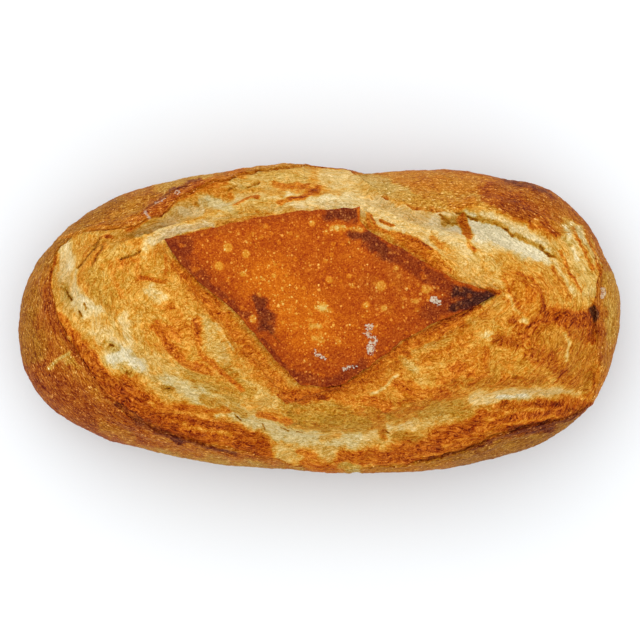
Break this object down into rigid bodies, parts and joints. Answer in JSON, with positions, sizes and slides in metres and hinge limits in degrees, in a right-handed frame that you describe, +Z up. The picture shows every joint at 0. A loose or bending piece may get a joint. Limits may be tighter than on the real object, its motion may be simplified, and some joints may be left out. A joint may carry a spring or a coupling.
{
  "type": "sourdough loaf",
  "caption": "Long oval hearth loaf with a flat base, torn open round a raised diamond of smooth crust on its crown.",
  "frame": {"origin": "middle of the flat base, below the middle of the loaf's box", "axes": "+X along the loaf, +Y across it, +Z up through the crown"},
  "size_m": [0.2994, 0.1565, 0.0941],
  "materials": {
    "crust": "baked bread: brown crust, torn golden crumb"
  },
  "bodies": {
    "root": {"loaf": "crust"}
  },
  "joints": []
}
